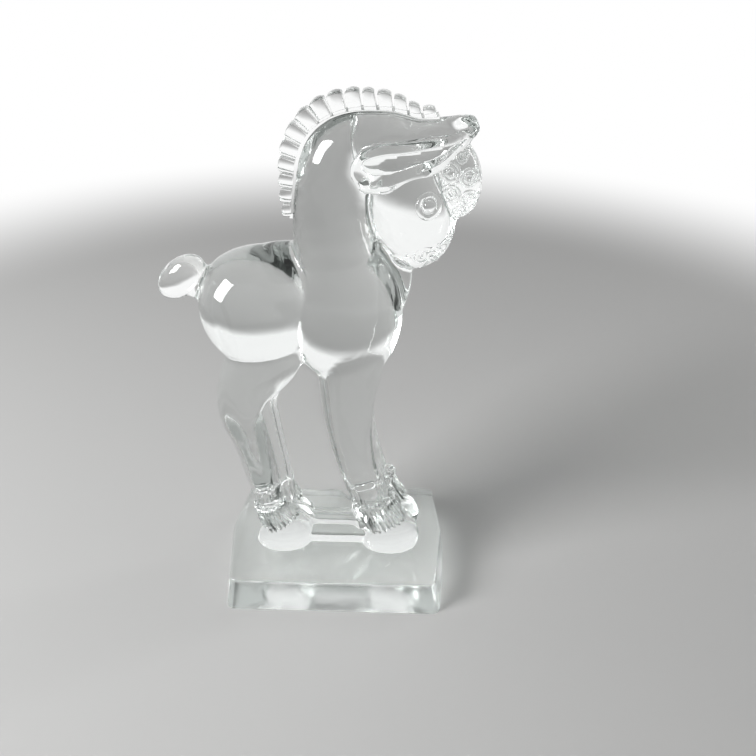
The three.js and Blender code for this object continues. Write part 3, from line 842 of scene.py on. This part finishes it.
def glass_foal():
    """The whole pressing."""
    soft = [leg_web(), throat_web(), hindquarters(), saddle(), *chest(), *tail()]
    soft += [limb(NECK, bluntness=6.0, rings=72, around=48)]
    soft += [egg(**HEAD), egg(**MUZZLE), egg(**LIP), nose_bridge()]
    soft += [leg_core(HIND_LEG), leg_core(FORELEG), egg(**FORELOCK)]
    for side in (-1, 1):
        soft += [leg(HIND_LEG, side), leg(FORELEG, side), hoof(True, side), hoof(False, side)]
    foal = fuse(joined(soft), "glass_foal", GRAIN, POLISH)
    low, high = TRUNK_Z - 9.0, TRUNK_Z + 5.0
    polish_crease(foal, CREASE_X, reach=3.6, low=low, high=high, polish=CREASE_POLISH)

    fine = [plinth(), sill(), mane_crest()] + [mane_tab(index) for index in range(MANE_TABS)]
    for side in (-1, 1):
        fine.append(ear(side))
        for hind in (True, False):
            fine += [band(hind, side), *collar(hind, side)]
        fine += eye(side)
        fine += [curl(FORELOCK, *row, side, CURL_THICK) for row in FORELOCK_CURLS]
        fine += [curl(MUZZLE, *row, side, NOSTRIL_THICK) for row in NOSTRIL_CURLS]
    weld(foal, fine)
    weld(foal, [mouth(side) for side in (-1, 1)], "DIFFERENCE")
    drop_chips(foal)

    foal.data.transform(Matrix.Scale(MM, 4))
    foal.data.shade_smooth()
    foal.data.set_sharp_from_angle(angle=SHARP_FROM)
    return foal


# Finish

def maths(nodes, links, operation, *values):
    """What a Math node makes of sockets and numbers."""
    node = nodes.new("ShaderNodeMath")
    node.operation = operation
    for socket, value in zip(node.inputs, values):
        if isinstance(value, float):
            socket.default_value = value
        else:
            links.new(value, socket)
    return node.outputs["Value"]


def mixed(nodes, links, share, first, second):
    """The mix of two shaders by a share."""
    node = nodes.new("ShaderNodeMixShader")
    for socket, value in zip(node.inputs, (share, first, second)):
        links.new(value, socket)
    return node.outputs["Shader"]


def clear_glass():
    """Fire-polished clear glass, with the mould's ripple and a ground underside."""
    glass = bpy.data.materials.new("clear_glass")
    glass.use_nodes = True
    nodes, links = glass.node_tree.nodes, glass.node_tree.links
    skin = nodes["Principled BSDF"]
    skin.inputs["Base Color"].default_value = (0.99, 0.995, 0.992, 1.0)
    skin.inputs["Transmission Weight"].default_value = 1.0
    skin.inputs["IOR"].default_value = 1.5
    skin.inputs["Roughness"].default_value = 0.0

    place = nodes.new("ShaderNodeTexCoord")
    ripple = nodes.new("ShaderNodeTexNoise")
    ripple.inputs["Scale"].default_value = 120.0
    ripple.inputs["Detail"].default_value = 2.0
    links.new(place.outputs["Object"], ripple.inputs["Vector"])
    bump = nodes.new("ShaderNodeBump")
    bump.inputs["Strength"].default_value = 0.25
    bump.inputs["Distance"].default_value = 0.0004
    links.new(ripple.outputs["Fac"], bump.inputs["Height"])
    links.new(bump.outputs["Normal"], skin.inputs["Normal"])

    # The ground underside is matt, and the moulded faces have a faint bloom
    height = nodes.new("ShaderNodeSeparateXYZ")
    links.new(place.outputs["Object"], height.inputs["Vector"])
    ground = nodes.new("ShaderNodeMapRange")
    ground.inputs["From Min"].default_value = 0.0001
    ground.inputs["From Max"].default_value = 0.0003
    ground.inputs["To Min"].default_value = 0.16
    ground.inputs["To Max"].default_value = 0.0
    links.new(height.outputs["Z"], ground.inputs["Value"])
    bloom = nodes.new("ShaderNodeTexNoise")
    bloom.inputs["Scale"].default_value = 45.0
    bloom.inputs["Detail"].default_value = 4.0
    links.new(place.outputs["Object"], bloom.inputs["Vector"])
    faint = nodes.new("ShaderNodeMapRange")
    faint.inputs["From Min"].default_value = 0.45
    faint.inputs["From Max"].default_value = 0.75
    faint.inputs["To Max"].default_value = 0.03
    links.new(bloom.outputs["Fac"], faint.inputs["Value"])
    rough = maths(nodes, links, "ADD", ground.outputs["Result"], faint.outputs["Result"])
    links.new(rough, skin.inputs["Roughness"])

    # Light mirrored inside three times gets out dimmed, or the render would lose it as black
    path = nodes.new("ShaderNodeLightPath")
    caught = maths(nodes, links, "GREATER_THAN", path.outputs["Glossy Depth"], 2.5)
    dimmed = nodes.new("ShaderNodeBsdfTransparent")
    dimmed.inputs["Color"].default_value = (0.66, 0.68, 0.67, 1.0)
    lit = mixed(nodes, links, caught, skin.outputs["BSDF"], dimmed.outputs["BSDF"])
    # Light through the glass softens its shadow
    shade = nodes.new("ShaderNodeBsdfTransparent")
    shade.inputs["Color"].default_value = (0.46, 0.47, 0.465, 1.0)
    surface = mixed(nodes, links, path.outputs["Is Shadow Ray"], lit, shade.outputs["BSDF"])
    links.new(surface, nodes["Material Output"].inputs["Surface"])
    body = nodes.new("ShaderNodeVolumeAbsorption")
    body.inputs["Color"].default_value = (0.76, 0.80, 0.785, 1.0)
    body.inputs["Density"].default_value = 20.0
    links.new(body.outputs["Volume"], nodes["Material Output"].inputs["Volume"])
    return glass


# Studio, in metres

def for_glass(nodes, links, path):
    """1 for what the glass mirrors or bends."""
    glossy, through = path.outputs["Is Glossy Ray"], path.outputs["Is Transmission Ray"]
    return maths(nodes, links, "MAXIMUM", glossy, through)


def floor():
    """A wide pale floor that fades to white far from the foal."""
    wide, below = 6.0, 0.00015
    form = bmesh.new()
    bmesh.ops.create_grid(form, x_segments=1, y_segments=1, size=wide)
    bmesh.ops.translate(form, vec=(0.0, 0.0, -below), verts=form.verts)
    plane = shown(form, "floor")
    paint = bpy.data.materials.new("pale_floor")
    paint.use_nodes = True
    nodes, links = paint.node_tree.nodes, paint.node_tree.links
    coat = nodes["Principled BSDF"]
    coat.inputs["Base Color"].default_value = (0.52, 0.52, 0.515, 1.0)
    coat.inputs["Roughness"].default_value = 0.9
    coat.inputs["Specular IOR Level"].default_value = 0.0
    place = nodes.new("ShaderNodeTexCoord")
    length = nodes.new("ShaderNodeVectorMath")
    length.operation = "LENGTH"
    links.new(place.outputs["Object"], length.inputs[0])
    fade = nodes.new("ShaderNodeMapRange")
    fade.interpolation_type = "SMOOTHSTEP"
    fade.inputs["From Min"].default_value = 0.20
    fade.inputs["From Max"].default_value = 0.32
    links.new(length.outputs["Value"], fade.inputs["Value"])
    # The white is there for the camera and the glass only, and lights nothing
    path = nodes.new("ShaderNodeLightPath")
    glass = for_glass(nodes, links, path)
    seen = maths(nodes, links, "MAXIMUM", glass, path.outputs["Is Camera Ray"])
    far = maths(nodes, links, "MULTIPLY", seen, fade.outputs["Result"])
    white = nodes.new("ShaderNodeEmission")
    white.inputs["Strength"].default_value = 1.0
    white.inputs["Color"].default_value = (1.0, 1.0, 1.0, 1.0)
    surface = mixed(nodes, links, far, coat.outputs["BSDF"], white.outputs["Emission"])
    links.new(surface, nodes["Material Output"].inputs["Surface"])
    plane.data.materials.append(paint)


def sky():
    """White all round, easing overhead for what the glass mirrors and bends."""
    world = bpy.data.worlds.new("studio")
    bpy.context.scene.world = world
    world.use_nodes = True
    nodes, links = world.node_tree.nodes, world.node_tree.links
    light = nodes["Background"]
    light.inputs["Color"].default_value = (1.0, 1.0, 1.0, 1.0)
    light.inputs["Strength"].default_value = 0.20
    seen = nodes.new("ShaderNodeBackground")
    seen.inputs["Strength"].default_value = 1.0
    place = nodes.new("ShaderNodeTexCoord")
    split = nodes.new("ShaderNodeSeparateXYZ")
    links.new(place.outputs["Generated"], split.inputs["Vector"])
    dome = nodes.new("ShaderNodeValToRGB")
    dome.color_ramp.elements[0].position = 0.72
    dome.color_ramp.elements[0].color = (1.0, 1.0, 1.0, 1.0)
    dome.color_ramp.elements[1].position = 0.86
    dome.color_ramp.elements[1].color = (0.75, 0.75, 0.75, 1.0)
    links.new(split.outputs["Z"], dome.inputs["Fac"])
    links.new(dome.outputs["Color"], seen.inputs["Color"])
    camera_white = nodes.new("ShaderNodeBackground")
    camera_white.inputs["Color"].default_value = (1.0, 1.0, 1.0, 1.0)
    camera_white.inputs["Strength"].default_value = 1.0
    path = nodes.new("ShaderNodeLightPath")
    glass = for_glass(nodes, links, path)
    around = mixed(nodes, links, glass, light.outputs["Background"], seen.outputs["Background"])
    camera_ray, backdrop = path.outputs["Is Camera Ray"], camera_white.outputs["Background"]
    surface = mixed(nodes, links, camera_ray, around, backdrop)
    links.new(surface, nodes["World Output"].inputs["Surface"])


def lamp(name, place, wide, tall, power):
    """A softbox aimed at the middle of the foal."""
    aim = Vector((0.0, 0.0, 0.06))
    box = bpy.data.lights.new(name, "AREA")
    box.shape = "RECTANGLE"
    box.size = wide
    box.size_y = tall
    box.energy = power
    made = bpy.data.objects.new(name, box)
    made.location = place
    made.rotation_euler = (aim - Vector(place)).to_track_quat("-Z", "Y").to_euler()
    bpy.context.scene.collection.objects.link(made)


def camera():
    """The photographer's place: close, looking down at the foal's right side."""
    frame_width = 756.0  # pixels
    focus = 765.0  # focal length in the same pixels
    horizon = 520.0  # its height over the middle of the picture
    yaw = 0.033
    pitch = math.atan2(horizon, focus)
    lens = bpy.data.cameras.new("camera")
    lens.sensor_width = 36.0
    lens.lens = 36.0 * focus / frame_width
    lens.clip_start = 0.005
    made = bpy.data.objects.new("camera", lens)
    made.location = (0.01465, -0.1354, 0.1469)
    level = math.cos(pitch)
    ahead = Vector((-math.sin(yaw) * level, math.cos(yaw) * level, -math.sin(pitch)))
    made.rotation_euler = ahead.to_track_quat("-Z", "Y").to_euler()
    bpy.context.scene.collection.objects.link(made)
    bpy.context.scene.camera = made


foal = glass_foal()
foal.data.materials.clear()
foal.data.materials.append(clear_glass())
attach(foal, "root")
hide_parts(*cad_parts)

floor()
sky()
lamp("window", (-0.40, -0.22, 0.32), wide=0.215, tall=0.26, power=3.8)
lamp("strip", (0.36, 0.16, 0.22), wide=0.05, tall=0.34, power=0.35)
camera()
bpy.context.scene.view_settings.view_transform = "Standard"
